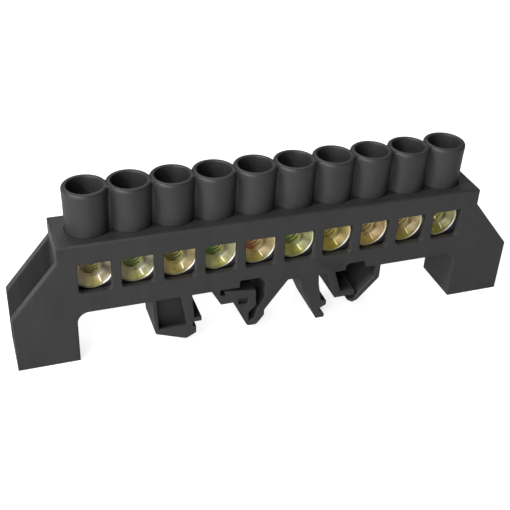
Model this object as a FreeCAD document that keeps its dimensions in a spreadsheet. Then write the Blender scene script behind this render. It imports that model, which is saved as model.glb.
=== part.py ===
import FreeCAD, Part
import math
import operator
import os

import Sketcher

# Earth terminal bar: one moulded bridge on two feet that holds a bored metal bar and a row of
# clamping screws. +X runs along the row, -Y is the side where the wires go in, +Z is up, and
# the origin lies under the middle of the part, on the surface that the feet stand on.

PARTS_FOLDER = "parts"
SHEET_NAME = "Sizes"

# Driving sizes in millimetres, and the number of ways. Heights are measured from the feet,
# depths from the front face, and places along the row from its middle.
SIZES = {
    # Row of ways
    "ways": 10,
    "pitch": 8.6,
    # Bridge and legs
    "depth": 11.9,
    "end_margin": 7.1,
    "leg_reach": 9.5,
    "leg_tuck": 3.1,
    "leg_height": 12.7,
    "arch_height": 12.0,
    "arch_radius": 2.4,
    "shoulder_drop": 3.8,
    "edge_radius": 0.45,
    "leg_wall": 1.6,
    "foot_floor": 2.5,
    "foot_hole": 4.5,
    "foot_hole_inset": 6.3,
    # Seat of the bar behind the front wall
    "seat_sill": 2.8,
    "seat_roof": 3.1,
    "front_wall": 1.2,
    "seat_depth": 2.9,
    "seat_step": 0.6,
    "end_wall": 1.3,
    "bar_clearance": 0.1,
    # Bar and its bores
    "bar_depth": 6.6,
    "bar_tall": 10.0,
    "wire_hole": 4.2,
    "wire_mouth": 8.5,
    # Windows for the wires
    "window_width": 6.7,
    "window_drop": 3.2,
    "window_rise": 3.6,
    "window_corner": 1.0,
    # Towers over the screws
    "tower_rise": 9.4,
    "tower_wall": 1.05,
    "tower_rim": 0.5,
    # Clamping screws
    "screw_thread": 4.0,
    "screw_length": 8.0,
    "screw_head": 6.7,
    "head_height": 2.6,
    "drive_width": 1.2,
    "drive_length": 4.6,
    "drive_depth": 1.4,
    "thread_clearance": 0.05,
    "head_clearance": 0.13,
    "tip_gap": 0.25,
    # Fixed jaw at the left of the clip
    "jaw_depth": 8.8,
    "jaw_outer": -27.4,
    "jaw_taper": 0.5,
    "jaw_corner": 3.4,
    "jaw_low": 1.0,
    "jaw_heel": -20.5,
    "jaw_sole": 0.5,
    "jaw_toe": -18.05,
    "jaw_toe_height": 2.1,
    "jaw_lip_end": -18.75,
    "jaw_side": -18.5,
    "jaw_ledge": -16.9,
    "ledge_height": 1.0,
    "jaw_wall": 0.8,
    "jaw_strip": 1.5,
    "jaw_pocket": 6.0,
    "jaw_pocket_low": 4.5,
    "jaw_radius": 0.8,
    # Groove on each side of the clip, for the edges of what it clips to
    "groove_low": 3.75,
    "groove_high": 5.0,
    # Slit spring in the middle of the clip
    "nose_root": -14.8,
    "nose_left": -12.7,
    "nose_right": -10.0,
    "nose_low": 8.3,
    "tip_left": -6.6,
    "tip_right": -4.5,
    "tip_low": 1.4,
    "tip_radius": 0.9,
    "arm_knee": -2.85,
    "knee_low": 3.6,
    "knee_high": 5.0,
    "arm_root": 2.2,
    "slit_start": -12.9,
    "slit_gap": 0.4,
    "slit_notch": 1.1,
    "slit_notch_depth": 1.3,
    "tongue_end": -5.0,
    "tongue_top": 10.7,
    "notch_left": -8.65,
    "notch_right": -4.2,
    "notch_top": 13.7,
    "eye_left": -6.35,
    "eye_low": 2.6,
    "dimple_left": -8.8,
    "dimple_width": 2.2,
    "dimple_low": 7.5,
    "dimple_height": 1.5,
    "dimple_depth": 0.9,
    # Barbed prong
    "prong_left": 5.0,
    "prong_right": 9.3,
    "prong_knee": 9.6,
    "prong_knee_shift": 0.35,
    "prong_tip_left": 9.5,
    "prong_tip_right": 11.45,
    "prong_low": 0.15,
    "barb_reach": 11.7,
    "barb_root": 10.4,
    "barb_notch": 10.1,
    "barb_high": 5.0,
    "barb_low": 2.7,
    # Sprung jaw at the right of the clip
    "hook_left": 11.2,
    "hook_foot": 13.6,
    "hook_floor_end": 18.3,
    "hook_slot": 0.5,
    "hook_lip_end": 18.7,
    "hook_toe": 16.8,
    "hook_low": 2.95,
    "hook_knee": 8.65,
    "hook_outer": 24.0,
    "hook_wall": 1.3,
    "hook_arm": 1.9,
    "hook_floor": 1.6,
    "hook_floor_round": 0.7,
    "hook_pocket": 9.5,
    "hook_notch_left": 15.6,
    "hook_notch_right": 20.0,
    "hook_radius": 1.0,
}


class Size:
    """A number that keeps the spreadsheet expression that it is worked out from."""

    def __init__(self, text, value):
        self.text = text
        self.value = value

    def __add__(self, other):
        return combine(self, "+", other)

    def __radd__(self, other):
        return combine(other, "+", self)

    def __sub__(self, other):
        return combine(self, "-", other)

    def __rsub__(self, other):
        return combine(other, "-", self)

    def __mul__(self, other):
        return combine(self, "*", other)

    def __rmul__(self, other):
        return combine(other, "*", self)

    def __truediv__(self, other):
        return combine(self, "/", other)

    def __neg__(self):
        return combine(0, "-", self)


SIGNS = {"+": operator.add, "-": operator.sub, "*": operator.mul, "/": operator.truediv}


def as_size(number):
    return number if isinstance(number, Size) else Size(str(number), number)


def combine(left, sign, right):
    """Join two sizes, or a size and a plain number, in both forms at once."""
    left, right = as_size(left), as_size(right)
    return Size(f"({left.text} {sign} {right.text})", SIGNS[sign](left.value, right.value))


class Sheet:
    """The spreadsheet of driving sizes, read as attributes."""

    def __init__(self, doc):
        cells = doc.addObject("Spreadsheet::Sheet", SHEET_NAME)
        for row, (alias, value) in enumerate(SIZES.items(), start=1):
            cells.set(f"A{row}", alias)
            cells.set(f"B{row}", str(value))
            cells.setAlias(f"B{row}", alias)
            setattr(self, alias, Size(f"{SHEET_NAME}.{alias}", value))


def bind(thing, **sizes):
    """Tie properties of an object to the sheet."""
    for name, size in sizes.items():
        thing.setExpression(name, as_size(size).text)


def new_body(doc, label):
    body = doc.addObject("PartDesign::Body", label)
    body.Label = label
    return body


def sketch_on(body, name, role, lift=0, shift=0):
    """A sketch on one of the body's own planes, lifted along its normal and shifted along X."""
    plane = next(item for item in body.Origin.OriginFeatures if item.Role == role)
    sketch = body.newObject("Sketcher::SketchObject", name)
    sketch.AttachmentSupport = [(plane, "")]
    sketch.MapMode = "FlatFace"
    sketch.setExpression("AttachmentOffset.Base.z", as_size(lift).text)
    sketch.setExpression("AttachmentOffset.Base.x", as_size(shift).text)
    return sketch


def pin_point(sketch, line, end, across, up):
    """Hold one end of a line at its place from the sketch's origin."""
    for kind, size in (("DistanceX", as_size(across)), ("DistanceY", as_size(up))):
        rule = Sketcher.Constraint(kind, -1, 1, line, end, float(size.value))
        index = sketch.addConstraint(rule)
        sketch.setExpression(f"Constraints[{index}]", size.text)


def draw_outline(sketch, corners):
    """A closed outline with every corner held by the sheet.

    A corner is its two places, or its two places and the radius that rounds it.
    """
    places = [FreeCAD.Vector(as_size(corner[0]).value, as_size(corner[1]).value, 0)
              for corner in corners]
    radii = [as_size(corner[2]) if len(corner) > 2 else None for corner in corners]
    cuts = [trim(places, index, radius) for index, radius in enumerate(radii)]
    lines = []
    for index, cut in enumerate(cuts):
        following = cuts[(index + 1) % len(cuts)]
        edge = Part.LineSegment(cut[1], following[0])
        lines.append(sketch.addGeometry(edge, False))
    for index, radius in enumerate(radii):
        before, after = lines[index - 1], lines[index]
        across, up = corners[index][:2]
        if radius is None:
            sketch.addConstraint(Sketcher.Constraint("Coincident", before, 2, after, 1))
            pin_point(sketch, after, 1, across, up)
        else:
            round_corner(sketch, before, after, places[index], cuts[index], radius)
            point = sketch.addGeometry(Part.Point(places[index]), True)
            pin_point(sketch, point, 1, across, up)
            for line in (before, after):
                sketch.addConstraint(Sketcher.Constraint("PointOnObject", point, 1, line))


def trim(places, index, radius):
    """Where the edges before and after a corner end, short of it if it is rounded."""
    corner = places[index]
    if radius is None:
        return corner, corner
    back = (places[index - 1] - corner).normalize()
    ahead = (places[(index + 1) % len(places)] - corner).normalize()
    short = radius.value / math.tan(back.getAngle(ahead) / 2)
    return corner + back * short, corner + ahead * short


def round_corner(sketch, before, after, corner, cut, radius):
    """An arc that touches the edges before and after a corner."""
    start, end = cut
    towards = (start - corner) + (end - corner)
    length = math.hypot(radius.value, (start - corner).Length)
    centre = corner + towards.normalize() * length
    turns_left = (corner - start).cross(end - corner).z > 0
    first, last = (start, end) if turns_left else (end, start)
    angles = [math.atan2(place.y - centre.y, place.x - centre.x) for place in (first, last)]
    circle = Part.Circle(centre, FreeCAD.Vector(0, 0, 1), radius.value)
    arc = sketch.addGeometry(Part.ArcOfCircle(circle, *angles), False)
    start_end, far_end = (1, 2) if turns_left else (2, 1)
    sketch.addConstraint(Sketcher.Constraint("Tangent", before, 2, arc, start_end))
    sketch.addConstraint(Sketcher.Constraint("Tangent", arc, far_end, after, 1))
    rule = sketch.addConstraint(Sketcher.Constraint("Radius", arc, radius.value))
    sketch.setExpression(f"Constraints[{rule}]", radius.text)


def draw_box(sketch, left, right, low, high):
    draw_outline(sketch, [(left, low), (right, low), (right, high), (left, high)])


def draw_circle(sketch, across, up, diameter):
    across, up = as_size(across), as_size(up)
    centre = FreeCAD.Vector(across.value, up.value, 0)
    shape = Part.Circle(centre, FreeCAD.Vector(0, 0, 1), diameter.value / 2)
    index = sketch.addGeometry(shape, False)
    pin_point(sketch, index, 3, across, up)
    rule = sketch.addConstraint(Sketcher.Constraint("Diameter", index, float(diameter.value)))
    sketch.setExpression(f"Constraints[{rule}]", diameter.text)


def pad(body, name, sketch, length):
    """Grow a sketch equally to both sides of its plane."""
    feature = body.newObject("PartDesign::Pad", name)
    feature.Profile = sketch
    feature.SideType = "Symmetric"
    bind(feature, Length=length)
    return feature


def pad_back(body, name, sketch, length):
    """Grow a sketch from its plane towards the back of the part."""
    feature = body.newObject("PartDesign::Pad", name)
    feature.Profile = sketch
    feature.Reversed = True
    bind(feature, Length=length)
    return feature


def pocket(body, name, sketch, length, along_normal):
    """Sink a sketch into the body, along its plane's normal or against it."""
    feature = body.newObject("PartDesign::Pocket", name)
    feature.Profile = sketch
    feature.Reversed = along_normal
    bind(feature, Length=length)
    return feature


def repeat_ways(body, name, feature, sketch, s):
    """Copy a feature of the first way to all the others."""
    pattern = body.newObject("PartDesign::LinearPattern", name)
    pattern.Originals = [feature]
    pattern.Direction = (sketch, ["H_Axis"])
    bind(pattern, Length=(s.ways - 1) * s.pitch, Occurrences=s.ways)
    body.Tip = pattern
    return pattern


def edges_at_height(feature, height):
    """Names of the edges that lie level at one height."""
    near = 0.01
    names = []
    for index, edge in enumerate(feature.Shape.Edges, start=1):
        if all(abs(vertex.Z - height.value) < near for vertex in edge.Vertexes):
            names.append(f"Edge{index}")
    return names


def round_edges(doc, body, name, names, radius):
    base = body.Tip
    feature = body.newObject("PartDesign::Fillet", name)
    feature.Base = (base, names)
    bind(feature, Radius=radius)
    doc.recompute()
    return feature


def first_way(s):
    return -(s.ways - 1) / 2 * s.pitch


def bridge_end(s):
    return (s.ways - 1) / 2 * s.pitch + s.end_margin


def bar_axis(s):
    """Height of the wire bores, half-way up the bar."""
    return s.arch_height + s.seat_sill + s.bar_clearance + s.bar_tall / 2


def bridge_top(s):
    return bar_axis(s) + s.bar_tall / 2 + s.bar_clearance + s.seat_roof


def tower_top(s):
    return bridge_top(s) + s.tower_rise


def bar_middle(s):
    """Depth of the bar's middle, where the screws stand, from the middle of the bridge."""
    return s.seat_depth + s.bar_clearance + s.bar_depth / 2 - s.depth / 2


def add_bridge(doc, body, s):
    """Bar and two legs in one outline, with rounded corners under the arch."""
    end = bridge_end(s)
    leg_outer = end + s.leg_reach
    leg_inner = end - s.leg_tuck
    top = bridge_top(s)
    shoulder = top - s.shoulder_drop
    sketch = sketch_on(body, "bridge_outline", "XZ_Plane")
    draw_outline(sketch, [
        (-leg_outer, 0), (-leg_inner, 0), (-leg_inner, s.arch_height, s.arch_radius),
        (leg_inner, s.arch_height, s.arch_radius), (leg_inner, 0), (leg_outer, 0),
        (leg_outer, s.leg_height, s.edge_radius), (end, shoulder), (end, top),
        (-end, top), (-end, shoulder), (-leg_outer, s.leg_height, s.edge_radius),
    ])
    bridge = pad(body, "bridge", sketch, s.depth)
    doc.recompute()
    round_edges(doc, body, "top_edges", edges_at_height(bridge, top), s.edge_radius)


def add_legs(doc, body, s):
    """Each leg is a box open along its slope, with a screw hole in the floor of its foot."""
    inner = bridge_end(s)
    outer = inner + s.leg_reach - s.leg_wall
    side = s.depth / 2 - s.leg_wall
    hole = inner + s.leg_reach - s.foot_hole_inset
    recess = sketch_on(body, "leg_recess_outline", "XY_Plane", lift=s.foot_floor)
    draw_box(recess, inner, outer, -side, side)
    draw_box(recess, -outer, -inner, -side, side)
    pocket(body, "leg_recess", recess, bridge_top(s), True)
    holes = sketch_on(body, "foot_hole_outline", "XY_Plane", lift=s.foot_floor)
    draw_circle(holes, hole, 0, s.foot_hole)
    draw_circle(holes, -hole, 0, s.foot_hole)
    pocket(body, "foot_holes", holes, s.foot_floor, False)


def add_fixed_jaw(body, s):
    """The block at the left: a toe, a groove, a ledge over the groove and a hollow in front."""
    root = s.arch_height + s.edge_radius
    front = s.depth / 2
    outline = sketch_on(body, "fixed_jaw_outline", "XZ_Plane", lift=front)
    draw_outline(outline, [
        (s.jaw_outer, root), (s.jaw_outer + s.jaw_taper, s.jaw_corner, s.jaw_radius),
        (s.jaw_heel, s.jaw_low), (s.jaw_heel + s.jaw_sole, s.jaw_low),
        (s.jaw_toe, s.jaw_toe_height), (s.jaw_toe, s.groove_low),
        (s.jaw_lip_end, s.groove_low), (s.jaw_lip_end, s.groove_high),
        (s.jaw_ledge, s.groove_high), (s.jaw_ledge, s.groove_high + s.ledge_height),
        (s.jaw_side, s.groove_high + s.ledge_height), (s.jaw_side - s.jaw_taper, root),
    ])
    pad_back(body, "fixed_jaw", outline, s.jaw_depth)
    hollow = sketch_on(body, "fixed_jaw_hollow_outline", "XZ_Plane", lift=front)
    left = s.jaw_outer + s.jaw_wall
    right = s.jaw_side - s.jaw_strip
    draw_outline(hollow, [
        (left, s.arch_height), (left + s.jaw_taper, s.jaw_pocket_low),
        (right, s.jaw_pocket_low), (right - 3 * s.jaw_taper, s.arch_height),
    ])
    pocket(body, "fixed_jaw_hollow", hollow, s.jaw_pocket, False)


def add_slit_spring(body, s):
    """The V in the middle: a tongue and an arm that meet in a rounded tip round a long slit."""
    root = s.arch_height + s.edge_radius
    front = s.depth / 2
    outline = sketch_on(body, "spring_outline", "XZ_Plane")
    draw_outline(outline, [
        (s.nose_root, root), (s.nose_root, s.arch_height), (s.nose_left, s.nose_low),
        (s.nose_right, s.nose_low), (s.tip_left, s.tip_low, s.tip_radius),
        (s.tip_right, s.tip_low, s.tip_radius), (s.arm_knee, s.knee_low),
        (s.arm_knee, s.knee_high, s.tip_radius), (s.arm_root, s.arch_height),
        (s.arm_root, root),
    ])
    pad(body, "slit_spring", outline, s.depth)
    slit = sketch_on(body, "slit_outline", "XZ_Plane", lift=front)
    arm_inner = s.arm_knee - s.leg_wall
    slit_low = s.arch_height - s.slit_gap
    draw_outline(slit, [
        (s.slit_start, s.arch_height), (s.notch_left, s.arch_height),
        (s.notch_left, s.notch_top, s.edge_radius), (s.notch_right, s.notch_top),
        (s.arm_knee, s.arch_height, s.edge_radius), (s.arm_knee, s.nose_low),
        (arm_inner, s.knee_high + s.edge_radius), (s.tongue_end, s.eye_low + s.edge_radius),
        (s.eye_left, s.eye_low), (s.eye_left, s.knee_high),
        (s.tongue_end + s.edge_radius / 2, s.knee_high + s.leg_wall),
        (s.tongue_end, s.tongue_top), (s.slit_start + s.slit_notch, slit_low),
        (s.slit_start + s.slit_notch, slit_low - s.slit_notch_depth),
        (s.slit_start, slit_low - s.slit_notch_depth + s.edge_radius),
    ])
    pocket(body, "slit", slit, s.depth, False)
    dimple = sketch_on(body, "dimple_outline", "XZ_Plane", lift=front)
    draw_box(dimple, s.dimple_left, s.dimple_left + s.dimple_width,
             s.dimple_low, s.dimple_low + s.dimple_height)
    pocket(body, "dimple", dimple, s.dimple_depth, False)


def add_prong(body, s):
    """The slanting prong with a barb above its foot."""
    root = s.arch_height + s.edge_radius
    outline = sketch_on(body, "prong_outline", "XZ_Plane")
    draw_outline(outline, [
        (s.prong_left, root), (s.prong_left, s.arch_height),
        (s.prong_left + s.prong_knee_shift, s.prong_knee), (s.prong_tip_left, s.prong_low),
        (s.prong_tip_right, s.prong_low), (s.prong_tip_right, s.prong_low + s.leg_wall / 2),
        (s.barb_notch, s.barb_low - s.edge_radius), (s.barb_notch, s.barb_low),
        (s.barb_reach, s.barb_low + s.leg_wall / 2),
        (s.barb_reach, s.barb_high - s.edge_radius), (s.barb_root, s.barb_high),
        (s.prong_right + s.prong_knee_shift / 2, s.prong_knee),
        (s.prong_right, s.arch_height), (s.prong_right, root),
    ])
    pad(body, "prong", outline, s.depth)


def add_sprung_jaw(body, s):
    """The block at the right: an inclined arm, a floor over the groove and a hooked wall."""
    root = s.arch_height + s.edge_radius
    slot_end = s.hook_floor_end + s.hook_slot
    outline = sketch_on(body, "sprung_jaw_outline", "XZ_Plane")
    draw_outline(outline, [
        (s.hook_left, root), (s.hook_left, s.arch_height), (s.hook_foot, s.groove_high),
        (s.hook_lip_end, s.groove_high), (s.hook_lip_end, s.groove_low),
        (s.hook_toe, s.groove_low), (s.hook_toe + s.hook_wall, s.hook_low),
        (slot_end + s.edge_radius, s.hook_low + s.edge_radius),
        (s.hook_outer, s.hook_knee, s.hook_radius),
        (s.hook_outer, root),
    ])
    pad(body, "sprung_jaw", outline, s.depth)
    hollow = sketch_on(body, "sprung_jaw_hollow_outline", "XZ_Plane", lift=s.depth / 2)
    inner = s.hook_outer - s.hook_wall
    floor = s.groove_high + s.hook_floor
    slot_low = s.groove_high - s.edge_radius
    draw_outline(hollow, [
        (s.hook_left + s.hook_arm, s.arch_height), (s.hook_foot + s.hook_wall, floor),
        (s.hook_floor_end, floor, s.hook_floor_round), (s.hook_floor_end, slot_low),
        (slot_end, slot_low), (inner, s.hook_knee + s.edge_radius),
        (inner, s.arch_height), (s.hook_notch_right + s.edge_radius, s.arch_height),
        (s.hook_notch_right, s.notch_top, s.edge_radius),
        (s.hook_notch_left, s.notch_top, s.hook_radius), (s.hook_notch_left, s.arch_height),
    ])
    pocket(body, "sprung_jaw_hollow", hollow, s.hook_pocket, False)


def add_bar_seat(body, s):
    """The room for the bar, open at the back, with a step in front that the bar lies against."""
    reach = bridge_end(s) - s.end_wall
    axis = bar_axis(s)
    half = s.bar_tall / 2 + s.bar_clearance
    seat = sketch_on(body, "bar_seat_outline", "XZ_Plane", lift=-s.depth / 2)
    draw_box(seat, -reach, reach, axis - half, axis + half)
    pocket(body, "bar_seat", seat, s.depth - s.seat_depth, True)
    half = s.bar_tall / 2 - s.seat_step
    relief = sketch_on(body, "relief_outline", "XZ_Plane", lift=s.depth / 2 - s.front_wall)
    draw_box(relief, -reach, reach, axis - half, axis + half)
    pocket(body, "relief", relief, s.seat_depth - s.front_wall, False)


def add_windows(body, s):
    """One window in front of each bore, with rounded lower corners."""
    window = sketch_on(body, "window_outline", "XZ_Plane", lift=s.depth / 2, shift=first_way(s))
    side = s.window_width / 2
    low, high = bar_axis(s) - s.window_drop, bar_axis(s) + s.window_rise
    draw_outline(window, [
        (-side, high), (-side, low, s.window_corner), (side, low, s.window_corner),
        (side, high),
    ])
    opening = pocket(body, "window", window, s.front_wall, False)
    repeat_ways(body, "windows", opening, window, s)


def add_towers(body, s):
    """A tube over each screw, with a bevelled rim, and its bore down to the bar."""
    bore = s.screw_head + 2 * s.head_clearance
    radius = bore / 2 + s.tower_wall
    base, top = bridge_top(s), tower_top(s)
    profile = sketch_on(body, "tower_profile", "XZ_Plane", lift=-bar_middle(s), shift=first_way(s))
    draw_outline(profile, [
        (0, base - s.edge_radius), (radius, base - s.edge_radius),
        (radius, top - s.tower_rim), (radius - s.tower_rim, top), (0, top),
    ])
    tower = body.newObject("PartDesign::Revolution", "tower")
    tower.Profile = profile
    tower.ReferenceAxis = (profile, ["V_Axis"])
    tower.Angle = 360
    repeat_ways(body, "towers", tower, profile, s)
    mouth = sketch_on(body, "tower_bore_outline", "XY_Plane", lift=top, shift=first_way(s))
    draw_circle(mouth, 0, bar_middle(s), bore)
    drop = s.tower_rise + s.seat_roof + s.bar_clearance
    tower_bore = pocket(body, "tower_bore", mouth, drop, False)
    repeat_ways(body, "tower_bores", tower_bore, mouth, s)


def make_housing(doc, s):
    body = new_body(doc, "housing")
    add_bridge(doc, body, s)
    add_fixed_jaw(body, s)
    add_slit_spring(body, s)
    add_prong(body, s)
    add_sprung_jaw(body, s)
    add_legs(doc, body, s)
    add_bar_seat(body, s)
    add_windows(body, s)
    add_towers(body, s)
    return body


def make_busbar(doc, s):
    """The metal bar: a bore with a wide mouth for each wire, and a tapped hole above each."""
    body = new_body(doc, "busbar")
    reach = bridge_end(s) - s.end_wall - s.bar_clearance
    middle, axis = bar_middle(s), bar_axis(s)
    top = axis + s.bar_tall / 2
    block = sketch_on(body, "bar_outline", "XZ_Plane", lift=-middle)
    draw_box(block, -reach, reach, axis - s.bar_tall / 2, top)
    pad(body, "bar", block, s.bar_depth)
    mouth = sketch_on(body, "wire_hole_outline", "XZ_Plane", lift=s.bar_depth / 2 - middle,
                      shift=first_way(s))
    draw_circle(mouth, 0, axis, s.wire_hole)
    doc.recompute()
    bore = body.newObject("PartDesign::Hole", "wire_hole")
    bore.Profile = mouth
    bore.DepthType = "ThroughAll"
    bore.HoleCutType = "Countersink"
    bore.HoleCutCountersinkAngle = 90
    bind(bore, Diameter=s.wire_hole, HoleCutDiameter=s.wire_mouth)
    repeat_ways(body, "wire_holes", bore, mouth, s)
    thread = sketch_on(body, "tapped_hole_outline", "XY_Plane", lift=top, shift=first_way(s))
    draw_circle(thread, 0, middle, s.screw_thread + 2 * s.thread_clearance)
    tapped = pocket(body, "tapped_hole", thread, s.bar_tall / 2, False)
    repeat_ways(body, "tapped_holes", tapped, thread, s)
    return body


def make_screw(doc, s, way):
    """A clamping screw for one way, measured from the underside of its head."""
    body = new_body(doc, f"screw_{way + 1:02d}")
    thread, head = s.screw_thread / 2, s.screw_head / 2
    profile = sketch_on(body, f"screw_profile_{way}", "XZ_Plane")
    draw_outline(profile, [
        (0, -s.screw_length), (thread, -s.screw_length), (thread, 0), (head, 0),
        (head, s.head_height), (0, s.head_height),
    ])
    turned = body.newObject("PartDesign::Revolution", f"screw_turned_{way}")
    turned.Profile = profile
    turned.ReferenceAxis = (profile, ["V_Axis"])
    turned.Angle = 360
    recess = sketch_on(body, f"drive_outline_{way}", "XY_Plane", lift=s.head_height)
    near, far = s.drive_width / 2, s.drive_length / 2
    draw_outline(recess, [
        (-far, -near), (-near, -near), (-near, -far), (near, -far), (near, -near),
        (far, -near), (far, near), (near, near), (near, far), (-near, far), (-near, near),
        (-far, near),
    ])
    pocket(body, f"drive_{way}", recess, s.drive_depth, False)
    rise = bar_axis(s) + s.wire_hole / 2 + s.tip_gap + s.screw_length
    body.setExpression("Placement.Base.x", (first_way(s) + way * s.pitch).text)
    body.setExpression("Placement.Base.y", bar_middle(s).text)
    body.setExpression("Placement.Base.z", rise.text)
    return body


def check(doc, bodies):
    """Stop before anything is written if an object failed or a solid isn't whole."""
    for item in doc.Objects:
        if "Invalid" in item.State or "Error" in item.State:
            raise RuntimeError(f"{item.Name} failed: {item.State}")
    for body in bodies:
        shape = body.Shape
        if shape.isNull() or not shape.isValid() or len(shape.Solids) != 1:
            raise RuntimeError(f"{body.Label} is not one valid solid")


def main():
    os.makedirs(PARTS_FOLDER, exist_ok=True)
    doc = FreeCAD.newDocument("earth_terminal_bar")
    sheet = Sheet(doc)
    doc.recompute()
    bodies = [make_housing(doc, sheet), make_busbar(doc, sheet)]
    bodies += [make_screw(doc, sheet, way) for way in range(int(sheet.ways.value))]
    doc.recompute()
    check(doc, bodies)
    for body in bodies:
        body.Shape.exportStep(f"{PARTS_FOLDER}/{body.Label}.step")
        print(body.Label, round(body.Shape.Volume, 2))


main()
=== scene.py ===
import math

import bpy
from mathutils import Matrix, Vector


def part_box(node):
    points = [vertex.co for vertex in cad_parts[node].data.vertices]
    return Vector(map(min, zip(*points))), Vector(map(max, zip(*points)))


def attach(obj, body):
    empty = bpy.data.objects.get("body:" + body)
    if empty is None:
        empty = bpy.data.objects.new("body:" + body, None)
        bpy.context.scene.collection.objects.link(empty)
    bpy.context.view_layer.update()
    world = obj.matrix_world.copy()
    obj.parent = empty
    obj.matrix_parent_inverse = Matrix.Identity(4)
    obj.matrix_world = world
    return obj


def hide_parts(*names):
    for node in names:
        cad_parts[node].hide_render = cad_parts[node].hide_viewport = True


# Looks of an earth terminal bar: a black moulded bridge with ten towers, a yellow passivated bar
# with a wide-mouthed bore behind each window, and a clamping screw in each tower.
# Metres throughout. +X runs along the row, -Y is the side where the wires go in, +Z is up.

MM = 0.001

# Camera of the photograph
VIEW_AZIMUTH = math.radians(-20.47)
VIEW_ELEVATION = math.radians(33.84)
VIEW_ROLL = math.radians(3.08)
VIEW_PLACE = Vector((-60.09, -151.78, 124.07)) * MM
VIEW_START = 0.01
SENSOR_WIDTH = 36.0
LENS = 64.17

# Lamps, each with its place, its width and height, and its power. All of them aim at one place.
LAMP_AIM = Vector((0, 0, 0.02))
LAMPS = [
    ("key", (-0.50, -0.14, 0.48), (0.12, 0.12), 4.25),
    ("front", (-0.36, -0.42, 0.46), (0.22, 0.22), 1.45),
    ("left", (-0.46, -0.50, 0.14), (0.50, 0.30), 4.1),
    ("back", (0.02, 0.44, 0.66), (0.50, 0.30), 2.4)]

# Light that comes from everywhere, as a share of white
WORLD_LEVEL = 0.12

# Floor: its own grey, and the light it adds for the camera and for reflections
FLOOR_SIZE = 3.0
FLOOR_GREY = (0.5, 0.5, 0.5)
FLOOR_GLOW = 0.80
FLOOR_REFLECTED = 0.1
WHITE = (1, 1, 1)

# Row of ways
WAYS = 10
PITCH = 8.6 * MM
FIRST_WAY = -(WAYS - 1) / 2 * PITCH

# Bar, its bores and their wide mouths
AXIS_HEIGHT = 19.9 * MM
BAR_FRONT = -2.95 * MM
BORE_RADIUS = 2.1 * MM
MOUTH_RADIUS = 4.25 * MM
LIP_RADIUS = 4.09 * MM

# Open ends of the legs
LEG_END = 55.3 * MM
LEG_WALL = 1.6 * MM
LEG_GAP = 8.7 * MM
LEG_HIGH = 16 * MM
LEG_OVERCUT = 0.2 * MM
FOOT_FLOOR = 2.5 * MM

# Bed of the fixed jaw's hollow, added to the bridge; shade is painted on its front face
JAW_BED_LOW = Vector((-26.9, -4.3, 4.2)) * MM
JAW_BED_HIGH = Vector((-19.7, 0.5, 12.6)) * MM

# Towers. A taper step is a share of the taper, and its depth under the top in rim heights.
BRIDGE_TOP = 28.1 * MM
ROOT_DEPTH = 0.5 * MM
TOWER_TOP = 37.5 * MM
TOWER_DEPTH = 0.35 * MM
TOWER_OUTER = 4.53 * MM
TOWER_BORE = 3.48 * MM
TOWER_TAPER = 0.16 * MM
TAPER_STEPS = [(0, 1), (0.25, 1.8), (0.5, 3)]
RIM_ROUND = 0.25 * MM
RIM_BEVEL = 0.6 * MM
RIM_HEIGHT = 1.0 * MM
RIM_STEPS = 5

# Webs in the notches between the towers
WEB_WIDTH = 1.4 * MM
WEB_FRONT = 2.0 * MM
WEB_BACK = 1.3 * MM
WEB_DROP = 0.12 * MM
WEB_ROUND = 0.25 * MM
WEB_STEPS = 3

# Clamping screws. The flat of a thread's crest lies between two shares of the pitch.
SHANK_RADIUS = 2.0 * MM
TIP_CHAMFER = 0.5 * MM
THREAD_START = 0.3 * MM
THREAD_PITCH = 0.8 * MM
THREAD_DEPTH = 0.38 * MM
CREST_DEPTH = 0.04 * MM
CREST_FLAT = (0.42, 0.58)
HEAD_HEIGHT = 2.6 * MM
HEAD_CHAMFER = 0.15 * MM
HEAD_ROUND = 0.5 * MM
HEAD_STEPS = 6
HEAD_OVERLAP = 0.1 * MM
DRIVE_WIDTH = 1.2 * MM
DRIVE_LENGTH = 4.6 * MM
DRIVE_DEPTH = 1.4 * MM
DRIVE_OVERCUT = 1.0 * MM
FIRST_TURN = 23
NEXT_TURN = 47

# Meshes
TURN_STEPS = 48
SMOOTH_ANGLE = math.radians(32)
SCREW_ANGLE = math.radians(35)
FLAT_ANGLE = math.radians(0.5)
TURNED_MERGE = 1e-7
COPY_MERGE = 1e-6

# Edges that only look rounded
EDGE_ROUND = 0.42 * MM
LIP_ROUND = 0.16 * MM
EDGE_SAMPLES = 6

# Moulded plastic: sizes of what it shows, and colours from the darkest clouds to the palest
GRAIN_SIZE = 0.22 * MM
GRAIN_DEPTH = 0.05 * MM
SHEEN_SIZE = 7 * MM
STREAK_SIZE = 1.3 * MM
STREAK_STRETCH = (1, 1, 0.06)
PLASTIC_COLOURS = [
    (0.33, (0.0200, 0.0200, 0.0196)), (0.50, (0.0245, 0.0240, 0.0240)),
    (0.67, (0.0285, 0.0272, 0.0276))]
# Painted shade on the bed in the fixed jaw's hollow, where its walls shade it: its colour, its
# share and the width of its fade
BED_SHADE_COLOUR = (0.008, 0.008, 0.008)
BED_SHADE_SHARE = 0.7
BED_SHADE_FADE = 0.2 * MM
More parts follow.
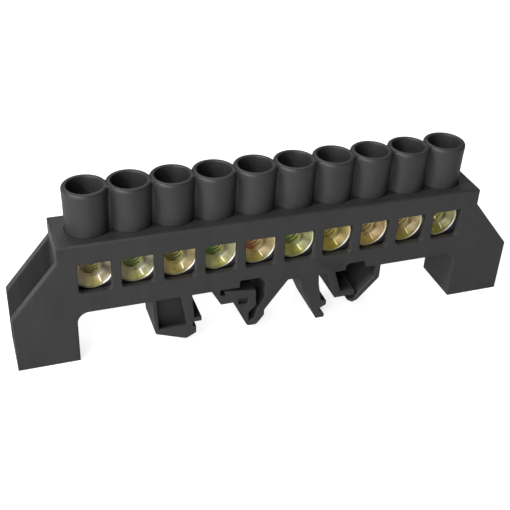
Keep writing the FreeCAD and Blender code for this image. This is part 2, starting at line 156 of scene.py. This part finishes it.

# Film on the bar: sizes of its clouds, and colours round a cone from its left side by the bottom,
# the right side and the top. These colours are the film's gold with painted light and shade:
# painted reflections make the left side pale cream, and painted shade makes the lower right dark.
CLOUD_SIZE = 3.0 * MM
FINE_SIZE = 0.45 * MM
FINE_DEPTH = 0.02 * MM
FILM_LIGHT_AND_SHADE_COLOURS = [
    (0.00, (0.95, 0.87, 0.62)), (0.13, (0.92, 0.84, 0.50)), (0.20, (0.92, 0.83, 0.36)),
    (0.26, (0.46, 0.40, 0.095)), (0.36, (0.125, 0.11, 0.045)), (0.44, (0.18, 0.16, 0.085)),
    (0.54, (0.50, 0.455, 0.28)), (0.75, (0.40, 0.36, 0.20)), (1.00, (0.95, 0.87, 0.62))]
THROAT_COLOUR = (0.45, 0.39, 0.27)
# Painted highlights on a cone's line, on a bore's edge and on a mouth's lip, painted shade on the
# flat front face, and painted glints in the bores
HIGHLIGHT_COLOUR = (1.0, 0.93, 0.68)
BORE_EDGE_HIGHLIGHT_COLOUR = (1.0, 0.97, 0.72)
FRONT_SHADE_COLOUR = (0.045, 0.04, 0.05)
LIP_HIGHLIGHT_COLOUR = (0.78, 0.76, 0.48)
SILVER_HIGHLIGHT_COLOUR = (1.0, 0.99, 0.96)
GLINT_COLOUR = (1.00, 0.90, 0.28)

# Film on the bar's plain faces behind the cones
PLAIN_SIZE = 6 * MM
PLAIN_COLOURS = [
    (0.32, (0.33, 0.34, 0.10)), (0.48, (0.42, 0.36, 0.14)), (0.60, (0.46, 0.35, 0.19)),
    (0.72, (0.38, 0.38, 0.17))]

# Painted highlights and painted shade on the bar, each with its middle, its reach and sometimes its
# peak. Angles are in radians up from a cone's right side. The painted highlight's line is in mm
# from its own angle and its patch in radians from there. The two shades are painted shade on a
# cone's lower right, and the silver side is where the lip's painted highlight is brightest. The
# painted highlights on the edge of a bore and on its mouth's lip are in mm from the bore's axis.
HIGHLIGHT_ANGLE = -1.08
HIGHLIGHT_LINE = (0, 0.10, 1.3)
HIGHLIGHT_PATCH = (0.2, 0.45, 1.2)
LATE_SHADE = (-0.42, 0.5)
EARLY_SHADE = (-0.15, 0.5)
SILVER_HIGHLIGHT_SIDE = (-0.62, 0.55)
BORE_EDGE_HIGHLIGHT = (2.26, 0.09, 1.4)
LIP_HIGHLIGHT_BAND = (LIP_RADIUS / MM + 0.03, 0.08125, 1.6)

# Fades on the bar, each with the place where it starts or ends and its width: in mm from a bore's
# axis or behind the bar's front, or in ways
THROAT_END = (3.6, 1.25)
HIGHLIGHT_LINE_END = (3.85, 0.4)
HIGHLIGHT_PATCH_END = (3.0, 0.7)
BORE_END = (BORE_RADIUS / MM + 0.1, 0.08)
# Painted shade on the bar's flat front face round each mouth
SHADED_FRONT_START = (MOUTH_RADIUS / MM - 0.02, 0.04)
SHADED_FRONT_DEPTH = (0.5, 0.5)
BEHIND_START = (2.3, 0.2)
EARLY_SHADE_WAYS = (3.5, 6)
HIGHLIGHT_PATCH_WAYS = (14, 14)

# Colours of each way, from the first to the last
CONE_TINTS = [
    (1.04, 1.00, 1.20), (0.96, 1.03, 1.10), (1.08, 1.00, 0.85), (0.96, 1.04, 1.00),
    (1.08, 0.98, 0.80), (0.98, 1.08, 0.85), (1.15, 1.00, 0.55), (1.18, 0.95, 0.75),
    (1.08, 0.95, 0.75), (0.88, 0.92, 0.70)]
BORE_COLOURS = [
    (0.22, 0.19, 0.045), (0.12, 0.22, 0.04), (0.25, 0.21, 0.035), (0.14, 0.27, 0.03),
    (0.50, 0.19, 0.07), (0.22, 0.32, 0.05), (0.46, 0.36, 0.05), (0.46, 0.27, 0.17),
    (0.48, 0.30, 0.20), (0.26, 0.27, 0.07)]

# Film on the screws
SCREW_CLOUD_SIZE = 2.5 * MM
WEAR_SIZE = 0.3 * MM
SCREW_COLOURS = [
    (0.35, (0.40, 0.39, 0.24)), (0.50, (0.52, 0.47, 0.30)), (0.65, (0.52, 0.42, 0.31))]


class Signal:
    """An output of a finish's nodes. Arithmetic on it adds Math nodes."""

    def __init__(self, finish, socket):
        self.finish = finish
        self.socket = socket

    def out(self, name):
        """Another output of the same node."""
        return Signal(self.finish, self.socket.node.outputs[name])

    def math(self, operation, *others):
        return self.finish.math(operation, self, *others)

    def __add__(self, other):
        return self.math("ADD", other)

    def __sub__(self, other):
        return self.math("SUBTRACT", other)

    def __rsub__(self, other):
        return self.finish.math("SUBTRACT", other, self)

    def __mul__(self, other):
        return self.math("MULTIPLY", other)

    def __truediv__(self, other):
        return self.math("DIVIDE", other)

    def __abs__(self):
        return self.math("ABSOLUTE")

    __radd__ = __add__
    __rmul__ = __mul__

    def clamp(self):
        """Held between 0 and 1."""
        return self.finish.add("ShaderNodeClamp", None, {"Value": self})

    def rise(self, start, width):
        """0 up to a start, and 1 from a width past it."""
        return ((self - start) / width).clamp()

    def fall(self, end, width):
        """1 down to a width before an end, and 0 from the end."""
        return ((end - self) / width).clamp()

    def near(self, middle, reach, peak=1.0):
        """A hump that drops by 1 for each reach away from its middle, held between 0 and 1."""
        return (peak - abs(self - middle) / reach).clamp()


class Finish:
    """A material or a world that is built node by node."""

    def __init__(self, owner):
        owner.use_nodes = True
        self.owner = owner
        self.tree = owner.node_tree
        self.tree.nodes.clear()

    def add(self, kind, settings=None, sockets=None):
        """A node with its settings made first, then its sockets. Gives its first output."""
        node = self.tree.nodes.new(kind)
        for name, value in (settings or {}).items():
            if name == "stops":
                set_stops(node.color_ramp, value)
            else:
                setattr(node, name, value)
        for name, value in (sockets or {}).items():
            socket = node.inputs[name]
            if isinstance(value, Signal):
                self.tree.links.new(value.socket, socket)
            else:
                socket.default_value = (*value, 1) if socket.type == "RGBA" else value
        outputs = [Signal(self, socket) for socket in node.outputs if socket.enabled]
        return outputs[0] if outputs else None

    def math(self, operation, *values):
        return self.add("ShaderNodeMath", {"operation": operation}, dict(enumerate(values)))

    def place(self):
        """A point's own place on the object."""
        return self.add("ShaderNodeTexCoord").out("Object")

    def parts(self, vector):
        """The three parts of a vector."""
        first = self.add("ShaderNodeSeparateXYZ", None, {"Vector": vector})
        return first, first.out("Y"), first.out("Z")

    def noise(self, place, size, detail=3.0, roughness=0.5):
        """Noise whose blobs are about the given size across."""
        return self.add("ShaderNodeTexNoise", {"noise_dimensions": "3D"}, {
            "Vector": place, "Scale": 1 / size, "Detail": detail, "Roughness": roughness})

    def ramp(self, factor, stops, smooth=False):
        """Colours that follow a value from 0 to 1."""
        signal = self.add("ShaderNodeValToRGB", {"stops": stops}, {"Fac": factor})
        if smooth:
            signal.socket.node.color_ramp.interpolation = "EASE"
        return signal

    def mix(self, factor, first, second, blend="MIX"):
        """A mix of two colours."""
        signal = self.add("ShaderNodeMix", {"data_type": "RGBA", "blend_type": blend},
                          {"Factor": factor, "A": first, "B": second})
        return signal.out("Result")

    def relief(self, rounding, height, depth, strength):
        """A normal that rounds the edges and then lays fine bumps on the surface."""
        rounded = self.add("ShaderNodeBevel", {"samples": EDGE_SAMPLES}, {"Radius": rounding})
        return self.add("ShaderNodeBump", None, {
            "Strength": strength, "Distance": depth, "Height": height, "Normal": rounded})

    def surface(self, shader, output="ShaderNodeOutputMaterial"):
        """The material or world itself, once its shader is linked to its output."""
        self.add(output, None, {"Surface": shader})
        return self.owner

    def principled(self, sockets):
        return self.surface(self.add("ShaderNodeBsdfPrincipled", None, sockets))


def set_stops(ramp, stops):
    """Give a colour ramp its stops, each a place and a colour."""
    while len(ramp.elements) < len(stops):
        ramp.elements.new(0.5)
    for element, (place, colour) in zip(ramp.elements, stops):
        element.position = place
        element.color = (*colour, 1)


def start_material(name):
    return Finish(bpy.data.materials.new(name))


def jaw_bed(finish, place):
    """1 on the front face of the bed in the fixed jaw's hollow, where shade is painted, and 0 away
    from it.
    """
    x, y, z = finish.parts(place)
    bed = y.near(JAW_BED_LOW.y, MM, peak=1.5)
    for along, low, high in ((x, JAW_BED_LOW.x, JAW_BED_HIGH.x),
                             (z, JAW_BED_LOW.z, JAW_BED_HIGH.z)):
        bed = bed * along.rise(low - BED_SHADE_FADE / 2, BED_SHADE_FADE)
        bed = bed * along.fall(high + BED_SHADE_FADE / 2, BED_SHADE_FADE)
    return bed


def moulded_plastic():
    """Black glass-filled plastic: satin, with a faint spark-eroded grain and cloudy sheen, and
    painted shade that darkens the bed in the fixed jaw's hollow.
    """
    finish = start_material("moulded_plastic")
    place = finish.place()
    grain = finish.noise(place, GRAIN_SIZE, detail=2.0)
    sheen = finish.noise(place, SHEEN_SIZE)
    upright = finish.add("ShaderNodeMapping", None, {"Vector": place, "Scale": STREAK_STRETCH})
    streaks = finish.noise(upright, STREAK_SIZE, detail=2.0)
    colour = finish.ramp(sheen * 0.6 + streaks * 0.4, PLASTIC_COLOURS)
    return finish.principled({
        # Painted shade darkens the bed in the fixed jaw's hollow
        "Base Color": finish.mix(BED_SHADE_SHARE * jaw_bed(finish, place), colour, BED_SHADE_COLOUR),
        "Roughness": 0.47 + 0.16 * (sheen - 0.5) + 0.14 * (streaks - 0.5),
        "Specular IOR Level": 0.32,
        "Normal": finish.relief(EDGE_ROUND, grain, GRAIN_DEPTH, strength=0.12)})


def way_places(finish, place):
    """For a place on the bar, in mm: across and up from its way's bore axis, the distance from
    that axis, the depth behind the bar's front, and the number of the way, from 0."""
    x, y, z = finish.parts(place)
    along = x / PITCH + (WAYS - 1) / 2
    way = along.math("ROUND").math("MAXIMUM", 0.0).math("MINIMUM", WAYS - 1.0)
    across = (along - way) * (PITCH / MM)
    up = (z - AXIS_HEIGHT) / MM
    distance = (across * across + up * up).math("SQRT")
    return across, up, distance, (y - BAR_FRONT) / MM, way


def by_way(finish, way, colours):
    return finish.ramp((way + 0.5) / WAYS, [
        ((number + 0.5) / WAYS, colour) for number, colour in enumerate(colours)])


def cone_film(finish, up, distance, angle, way, clouds, fine):
    """The colour of a wide mouth's cone: its film with painted light and shade round it, a painted
    highlight line and patch, painted shade, and a speckled painted highlight along the edge of its
    bore. The clouds and the fine noise are round 0."""
    # Painted light and shade round the cone, on the film's own gold
    film_and_light = finish.ramp(0.5 + angle / (2 * math.pi) + 0.16 * clouds + 0.05 * fine, FILM_LIGHT_AND_SHADE_COLOURS)
    film_and_light = finish.mix(0.4 * distance.fall(*THROAT_END), film_and_light, THROAT_COLOUR)
    # A painted highlight: a thin cream line down a cone from its bore, with a patch by the bore
    off = angle - HIGHLIGHT_ANGLE + 0.25 * clouds
    highlight_line = (off * distance).near(*HIGHLIGHT_LINE) * distance.fall(*HIGHLIGHT_LINE_END)
    highlight_patch = off.near(*HIGHLIGHT_PATCH) * distance.fall(*HIGHLIGHT_PATCH_END) * way.fall(*HIGHLIGHT_PATCH_WAYS)
    film_and_light = finish.mix(highlight_line.math("MAXIMUM", highlight_patch), film_and_light, HIGHLIGHT_COLOUR)
    film_and_light = finish.mix(1.0, film_and_light, by_way(finish, way, CONE_TINTS), blend="MULTIPLY")
    # Painted shade: on each cone's lower right, deeper way by way, and on the right of the first
    # few cones
    shade = 0.055 * way * angle.near(*LATE_SHADE) + way.fall(*EARLY_SHADE_WAYS) * angle.near(*EARLY_SHADE)
    film_and_light = finish.mix(1.0, film_and_light, 1.06 + 0.5 * clouds - shade, blend="MULTIPLY")
    # A speckled painted highlight along the lower edge of the bore
    edge_highlight = (distance - 0.4 * fine).near(*BORE_EDGE_HIGHLIGHT)
    edge_highlight_speckle = ((0.3 - 0.6 * up) * (3 * fine + 0.6)).clamp()
    return finish.mix(edge_highlight * edge_highlight_speckle, film_and_light, BORE_EDGE_HIGHLIGHT_COLOUR)


def passivated_bar():
    """Yellow passivated metal: gold with green and rose clouds that change from way to way, with
    painted highlights, glints and shade on the cones, lips, bores and front face.
    """
    finish = start_material("passivated_bar")
    place = finish.place()
    across, up, distance, depth, way = way_places(finish, place)
    angle = up.math("ARCTAN2", across)
    clouds = finish.noise(place, CLOUD_SIZE, detail=2.0, roughness=0.6) - 0.5
    fine = finish.noise(place, FINE_SIZE) - 0.5

    behind = depth.rise(*BEHIND_START)
    inside = distance.fall(*BORE_END)
    # Painted shade on the bar's flat front face, which lies deep in its recess
    front = distance.rise(*SHADED_FRONT_START) * depth.fall(*SHADED_FRONT_DEPTH)
    # A painted highlight along each mouth's lip
    lip_highlight = distance.near(*LIP_HIGHLIGHT_BAND) * (1 - front) * (1 - behind)

    # Painted glints: bright arcs in bands by depth on the right side of each bore
    bands = (0.36 + 1.3 * (depth * 6.0 + 3.0 * clouds + 1.5 * fine).math("SINE")).clamp()
    glint = ((across + 0.25 * up + 0.5) * 1.1).clamp() * bands
    bore = finish.mix(glint, by_way(finish, way, BORE_COLOURS), GLINT_COLOUR)
    plain = finish.ramp(finish.noise(place, PLAIN_SIZE), PLAIN_COLOURS)
    # The lip's painted highlight is pale yellow, and silver where it is brightest at the lower
    # right
    rim_highlight = finish.mix(angle.near(*SILVER_HIGHLIGHT_SIDE), LIP_HIGHLIGHT_COLOUR, SILVER_HIGHLIGHT_COLOUR)
    colour = cone_film(finish, up, distance, angle, way, clouds, fine)
    for share, over in ((behind, plain), (inside, bore), (front, FRONT_SHADE_COLOUR), (lip_highlight, rim_highlight)):
        colour = finish.mix(share, colour, over)
    return finish.principled({
        "Base Color": colour,
        "Metallic": 0.60 - 0.25 * inside - 0.30 * lip_highlight,
        "Roughness": 0.44 - 0.20 * inside - 0.19 * lip_highlight,
        "Coat Weight": 0.12 * (1 - inside) * (1 - front),
        "Coat Roughness": 0.12,
        "Normal": finish.relief(LIP_ROUND, fine, FINE_DEPTH, strength=0.10)})


def passivated_screw():
    """Screw steel with the same yellow passivation, paler and brushed by the tools."""
    finish = start_material("passivated_screw")
    place = finish.place()
    clouds = finish.noise(place, SCREW_CLOUD_SIZE)
    return finish.principled({
        "Base Color": finish.ramp(clouds, SCREW_COLOURS, smooth=True),
        "Metallic": 1.0,
        "Roughness": 0.24 + 0.14 * finish.noise(place, WEAR_SIZE)})


def pale_floor():
    """A pale floor that shows white to the camera and in reflections, and keeps the shadow."""
    finish = start_material("pale_floor")
    path = finish.add("ShaderNodeLightPath")
    glow = FLOOR_GLOW * path.out("Is Camera Ray") + FLOOR_REFLECTED * path.out("Is Glossy Ray")
    paint = finish.add("ShaderNodeBsdfDiffuse", None, {"Color": FLOOR_GREY})
    light = finish.add("ShaderNodeEmission", None, {"Color": WHITE, "Strength": glow})
    return finish.surface(finish.add("ShaderNodeAddShader", None, {0: paint, 1: light}))


def choose(piece, *others):
    """Select a piece and make it active, and select any others with it."""
    bpy.ops.object.select_all(action="DESELECT")
    for item in (piece, *others):
        item.select_set(True)
    bpy.context.view_layer.objects.active = piece


def link(item):
    bpy.context.scene.collection.objects.link(item)


def own_copy(original):
    """A copy of a piece with its own mesh."""
    piece = original.copy()
    piece.data = original.data.copy()
    link(piece)
    return piece


def apply_modifier(piece, kind, **settings):
    choose(piece)
    modifier = piece.modifiers.new(kind.lower(), kind)
    for name, value in settings.items():
        setattr(modifier, name, value)
    bpy.ops.object.modifier_apply(modifier=modifier.name)


def combine(piece, operation, tool):
    """Cut a block out of a piece, or add it to the piece, and take the block away."""
    apply_modifier(piece, "BOOLEAN", operation=operation, object=tool, solver="EXACT")
    bpy.data.objects.remove(tool)


def turned(name, outline):
    """A solid of revolution about Z through the origin, from its outline of radii and heights."""
    bpy.ops.object.select_all(action="DESELECT")
    bpy.ops.mesh.primitive_plane_add(size=1)
    piece = bpy.context.object
    piece.name = name
    bpy.ops.object.mode_set(mode="EDIT")
    bpy.ops.mesh.delete(type="VERT")
    bpy.ops.object.mode_set(mode="OBJECT")
    piece.data.from_pydata([(radius, 0, height) for radius, height in outline],
                           [(i, i + 1) for i in range(len(outline) - 1)], [])
    bpy.ops.object.mode_set(mode="EDIT")
    bpy.ops.mesh.select_all(action="SELECT")
    bpy.ops.mesh.spin(steps=TURN_STEPS, angle=2 * math.pi, center=(0, 0, 0), axis=(0, 0, 1))
    bpy.ops.mesh.select_all(action="SELECT")
    bpy.ops.mesh.remove_doubles(threshold=TURNED_MERGE)
    bpy.ops.mesh.normals_make_consistent(inside=False)
    bpy.ops.object.mode_set(mode="OBJECT")
    return piece


def quarter(centre, radius, start, steps):
    """Places along a quarter turn round a centre, anticlockwise from an angle."""
    return [(centre[0] + radius * math.cos(start + step / steps * math.pi / 2),
             centre[1] + radius * math.sin(start + step / steps * math.pi / 2))
            for step in range(steps + 1)]


def block(name, low, high):
    """A box between two corners."""
    bpy.ops.object.select_all(action="DESELECT")
    low, high = Vector(low), Vector(high)
    bpy.ops.mesh.primitive_cube_add(size=1, location=(low + high) / 2)
    piece = bpy.context.object
    piece.name = name
    piece.scale = high - low
    bpy.ops.object.transform_apply(location=True, rotation=True, scale=True)
    return piece


def merged_copy(name, node):
    """A new piece with a node's own shape, its loose triangles merged."""
    piece = own_copy(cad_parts[node])
    piece.name = name
    choose(piece)
    bpy.ops.object.mode_set(mode="EDIT")
    bpy.ops.mesh.select_all(action="SELECT")
    bpy.ops.mesh.remove_doubles(threshold=COPY_MERGE)
    bpy.ops.object.mode_set(mode="OBJECT")
    return piece


def stand_for(piece, node, body, material):
    piece.data.materials.clear()
    piece.data.materials.append(material)
    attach(piece, body)
    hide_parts(node)


def screw_head(radius, low, top):
    """A cheese head with a cross slot, from its radius and its two heights."""
    outline = [(0, low), (radius - HEAD_CHAMFER, low), (radius, low + HEAD_CHAMFER)]
    outline += quarter((radius - HEAD_ROUND, top - HEAD_ROUND), HEAD_ROUND, 0, HEAD_STEPS)
    outline.append((0, top))
    head = turned("screw_head", outline)
    for name, across, along in (("slot", DRIVE_LENGTH, DRIVE_WIDTH),
                                ("cross", DRIVE_WIDTH, DRIVE_LENGTH)):
        combine(head, "DIFFERENCE", block(name, (-across / 2, -along / 2, top - DRIVE_DEPTH),
                                          (across / 2, along / 2, top + DRIVE_OVERCUT)))
    return head


def screw_thread(low, top):
    """A threaded shank from its tip to a little inside the head, whose underside is the top."""
    root = SHANK_RADIUS - THREAD_DEPTH
    crest = SHANK_RADIUS - CREST_DEPTH
    outline = [(0, low), (SHANK_RADIUS - TIP_CHAMFER, low)]
    height = low + THREAD_START
    while height + THREAD_PITCH < top:
        outline.append((root, height))
        outline += [(crest, height + THREAD_PITCH * share) for share in CREST_FLAT]
        height += THREAD_PITCH
    outline += [(root, height), (root, top + HEAD_OVERLAP), (0, top + HEAD_OVERLAP)]
    return turned("screw_thread", outline)


def model_screw(low, high):
    """The clamping screw of one way, standing on the Z axis at its own height."""
    head_low = high.z - HEAD_HEIGHT
    head = screw_head((high.x - low.x) / 2, head_low, high.z)
    choose(head, screw_thread(low.z, head_low))
    bpy.ops.object.join()
    bpy.ops.object.shade_smooth_by_angle(angle=SCREW_ANGLE)
    return head


def add_screws(material):
    """A screw in each tower, each turned on from the one before."""
    pattern = model_screw(*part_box("screw_01"))
    pieces = [pattern] + [own_copy(pattern) for _ in range(WAYS - 1)]
    for way, piece in enumerate(pieces):
        node = f"screw_{way + 1:02d}"
        piece.name = f"clamp_{node}"
        low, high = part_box(node)
        turn = Matrix.Rotation(math.radians(FIRST_TURN + NEXT_TURN * way), 4, "Z")
        centre = (low + high) / 2
        piece.data.transform(Matrix.Translation((centre.x, centre.y, 0)) @ turn)
        stand_for(piece, node, node, material)


def model_bar(material):
    piece = merged_copy("bored_bar", "busbar")
    bpy.ops.object.shade_smooth_by_angle(angle=SMOOTH_ANGLE)
    stand_for(piece, "busbar", "terminal", material)


def model_bridge(material):
    """The moulding below the towers: bridge, legs and clip."""
    piece = merged_copy("bridge", "housing")
    for side in (-1, 1):
        ends = sorted((side * LEG_END, side * (LEG_END - LEG_WALL)))
        combine(piece, "DIFFERENCE", block(
            "leg_opening", (ends[0] - LEG_OVERCUT, -LEG_GAP / 2, FOOT_FLOOR),
            (ends[1] + LEG_OVERCUT, LEG_GAP / 2, LEG_HIGH)))
    combine(piece, "UNION", block("jaw_bed", JAW_BED_LOW, JAW_BED_HIGH))
    choose(piece)
    bpy.ops.object.mode_set(mode="EDIT")
    bpy.ops.mesh.select_all(action="SELECT")
    bpy.ops.mesh.bisect(plane_co=(0, 0, BRIDGE_TOP), plane_no=(0, 0, 1), clear_outer=True)
    bpy.ops.mesh.select_all(action="SELECT")
    bpy.ops.mesh.dissolve_limited(angle_limit=FLAT_ANGLE)
    bpy.ops.object.mode_set(mode="OBJECT")
    bpy.ops.object.shade_smooth_by_angle(angle=SMOOTH_ANGLE)
    apply_modifier(piece, "WEIGHTED_NORMAL", keep_sharp=True)
    stand_for(piece, "housing", "terminal", material)


def add_web(tower, across):
    """Fill the notch between a tower and the next one, a little below their rims."""
    web = block("web", (across - WEB_WIDTH / 2, TOWER_DEPTH - WEB_FRONT, BRIDGE_TOP - ROOT_DEPTH),
                (across + WEB_WIDTH / 2, TOWER_DEPTH + WEB_BACK, TOWER_TOP - WEB_DROP))
    apply_modifier(web, "BEVEL", width=WEB_ROUND, segments=WEB_STEPS)
    bpy.ops.object.shade_smooth_by_angle(angle=SMOOTH_ANGLE)
    choose(tower, web)
    bpy.ops.object.join()


def model_tower():
    """One tube of the row, standing on the Z axis, with soft rims and a slight taper."""
    root = BRIDGE_TOP - ROOT_DEPTH
    inner = TOWER_BORE + RIM_ROUND
    outline = [(inner, root), (TOWER_BORE, BRIDGE_TOP)]
    outline += quarter((inner, TOWER_TOP - RIM_ROUND), RIM_ROUND, math.pi / 2, RIM_STEPS)[::-1]
    outline += quarter((TOWER_OUTER - RIM_BEVEL, TOWER_TOP - RIM_BEVEL), RIM_BEVEL, 0,
                       RIM_STEPS)[::-1]
    outline += [(TOWER_OUTER - share * TOWER_TAPER, TOWER_TOP - heights * RIM_HEIGHT)
                for share, heights in TAPER_STEPS]
    outline += [(TOWER_OUTER - TOWER_TAPER, root), (inner, root)]
    tower = turned("tower", outline)
    bpy.ops.object.shade_smooth_by_angle(angle=SMOOTH_ANGLE)
    return tower


def add_towers(material):
    """The ten tubes on the bridge, with a web between each and the next."""
    pattern = model_tower()
    pieces = [own_copy(pattern) for _ in range(WAYS - 1)] + [pattern]
    for way, piece in enumerate(pieces):
        piece.name = f"tower_{way + 1:02d}"
        piece.data.transform(Matrix.Translation((FIRST_WAY + way * PITCH, TOWER_DEPTH, 0)))
        if way < WAYS - 1:
            add_web(piece, FIRST_WAY + (way + 0.5) * PITCH)
        stand_for(piece, "housing", "terminal", material)


def add_floor():
    bpy.ops.object.select_all(action="DESELECT")
    bpy.ops.mesh.primitive_plane_add(size=FLOOR_SIZE, location=(0, 0, 0))
    floor = bpy.context.object
    floor.name = "floor"
    floor.data.materials.append(pale_floor())


def add_world():
    """Even light that is dim on the object and white behind it."""
    studio = Finish(bpy.data.worlds.new("studio"))
    seen = studio.add("ShaderNodeLightPath").out("Is Camera Ray")
    background = studio.add("ShaderNodeBackground", None, {
        "Color": WHITE, "Strength": WORLD_LEVEL + (1 - WORLD_LEVEL) * seen})
    bpy.context.scene.world = studio.surface(background, "ShaderNodeOutputWorld")


def add_lamp(name, place, size, power):
    data = bpy.data.lights.new(name, "AREA")
    data.shape = "RECTANGLE"
    data.size, data.size_y = size
    data.energy = power
    lamp = bpy.data.objects.new(name, data)
    lamp.location = place
    lamp.rotation_euler = (LAMP_AIM - Vector(place)).to_track_quat("-Z", "Y").to_euler()
    link(lamp)


def add_camera():
    data = bpy.data.cameras.new("camera")
    data.sensor_width = SENSOR_WIDTH
    data.lens = LENS
    data.clip_start = VIEW_START
    camera = bpy.data.objects.new("camera", data)
    camera.matrix_world = (
        Matrix.Translation(VIEW_PLACE)
        @ Matrix.Rotation(VIEW_AZIMUTH, 4, "Z")
        @ Matrix.Rotation(math.pi / 2 - VIEW_ELEVATION, 4, "X")
        @ Matrix.Rotation(VIEW_ROLL, 4, "Z"))
    link(camera)
    bpy.context.scene.camera = camera


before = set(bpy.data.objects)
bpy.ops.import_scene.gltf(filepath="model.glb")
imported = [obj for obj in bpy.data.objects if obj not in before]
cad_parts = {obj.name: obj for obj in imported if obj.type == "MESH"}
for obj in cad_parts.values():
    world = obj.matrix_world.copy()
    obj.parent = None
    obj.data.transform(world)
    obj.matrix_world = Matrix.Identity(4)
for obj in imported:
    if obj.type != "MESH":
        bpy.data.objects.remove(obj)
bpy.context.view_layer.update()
bpy.context.scene.view_settings.view_transform = "Standard"

plastic = moulded_plastic()
model_bridge(plastic)
add_towers(plastic)
model_bar(passivated_bar())
add_screws(passivated_screw())
add_floor()
add_world()
for lamp in LAMPS:
    add_lamp(*lamp)
add_camera()
